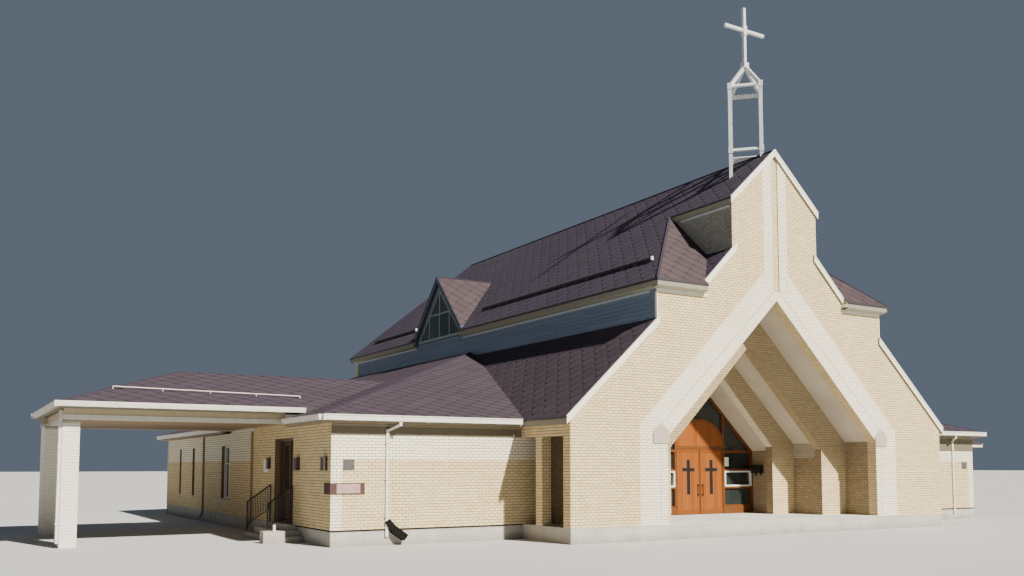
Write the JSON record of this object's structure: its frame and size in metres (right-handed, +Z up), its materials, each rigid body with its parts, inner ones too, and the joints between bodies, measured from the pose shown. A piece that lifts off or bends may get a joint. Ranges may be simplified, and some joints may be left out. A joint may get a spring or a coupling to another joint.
{
  "type": "modern church building",
  "caption": "Modern brick church with a stepped gable front, telescoping portal, two low wings, side carport and an open steel steeple with a cross.",
  "frame": {"origin": "on the ground under the middle of the front doors", "axes": "+X to the right of someone facing the front, +Y into the building, +Z up"},
  "size_m": [35.0003, 24.385, 17.5],
  "materials": {
    "tan_brick": "matte",
    "pale_brick": "matte",
    "stucco": "matte",
    "concrete": "matte",
    "shingles": "matte",
    "siding": "painted",
    "timber": "varnished",
    "dark_frame": "painted",
    "glass": "gloss",
    "trim": "painted",
    "soffit": "painted",
    "black_metal": "painted",
    "galvanised": "galvanised",
    "limestone": "matte",
    "red_stone": "polished",
    "slate": "matte",
    "brown_door": "painted"
  },
  "bodies": {
    "church": {"nave_base": "concrete", "left_wing_base": "concrete", "right_wing_base": "concrete", "entrance_steps": "concrete", "portal_floor": "concrete", "facade_wall_left": "tan_brick", "facade_wall_right": "tan_brick", "portal_walls_left": "tan_brick", "portal_walls_right": "tan_brick", "left_corner_recess": "tan_brick", "right_corner_recess": "tan_brick", "left_wing_front_wall": "tan_brick", "right_wing_front_wall": "tan_brick", "left_wing_side_wall": "tan_brick", "right_wing_side_wall": "tan_brick", "rear_wall": "tan_brick", "portal_band_left": "pale_brick", "portal_band_right": "pale_brick", "gable_centre_strip": "pale_brick", "carport_pier_front": "pale_brick", "carport_pier_rear": "pale_brick", "label_stone_left": "limestone", "label_stone_right": "limestone", "portal_ceiling_front": "stucco", "portal_ceiling_middle": "stucco", "portal_ceiling_rear": "stucco", "entrance_frame": "dark_frame", "dormer_window_left": "dark_frame", "dormer_window_right": "dark_frame", "entrance_glass": "glass", "left_wing_glass": "glass", "right_wing_glass": "glass", "arched_panel": "timber", "left_side_door": "brown_door", "right_side_door": "brown_door", "clerestory_wall_left": "siding", "clerestory_wall_right": "siding", "dormer_left": "siding", "dormer_right": "siding", "main_roof_left": "shingles", "main_roof_right": "shingles", "lower_roof_left": "shingles", "lower_roof_right": "shingles", "carport_roof": "shingles", "carport_beams": "trim", "left_wing_gutter": "trim", "right_wing_gutter": "trim", "right_canopy": "trim", "carport_ceiling": "soffit", "steps_railing_front": "black_metal", "steps_railing_rear": "black_metal", "wall_light_front": "black_metal", "wall_light_rear": "black_metal", "steeple_frame": "galvanised", "steeple_cross": "galvanised", "date_stone": "red_stone", "slate_plaque": "slate"},
    "left_leaf": {"door_leaf_left": "timber"},
    "right_leaf": {"door_leaf_right": "timber"}
  },
  "joints": [
    {"name": "front_door_left_hinge", "type": "hinge", "parent": "church", "child": "left_leaf", "pos_m": [-1.055, -0.06, 1.58], "axis": [0, 0, -1], "range_deg": [0, 90]},
    {"name": "front_door_right_hinge", "type": "hinge", "parent": "church", "child": "right_leaf", "pos_m": [1.055, -0.06, 1.58], "axis": [0, 0, 1], "range_deg": [0, 90]}
  ]
}
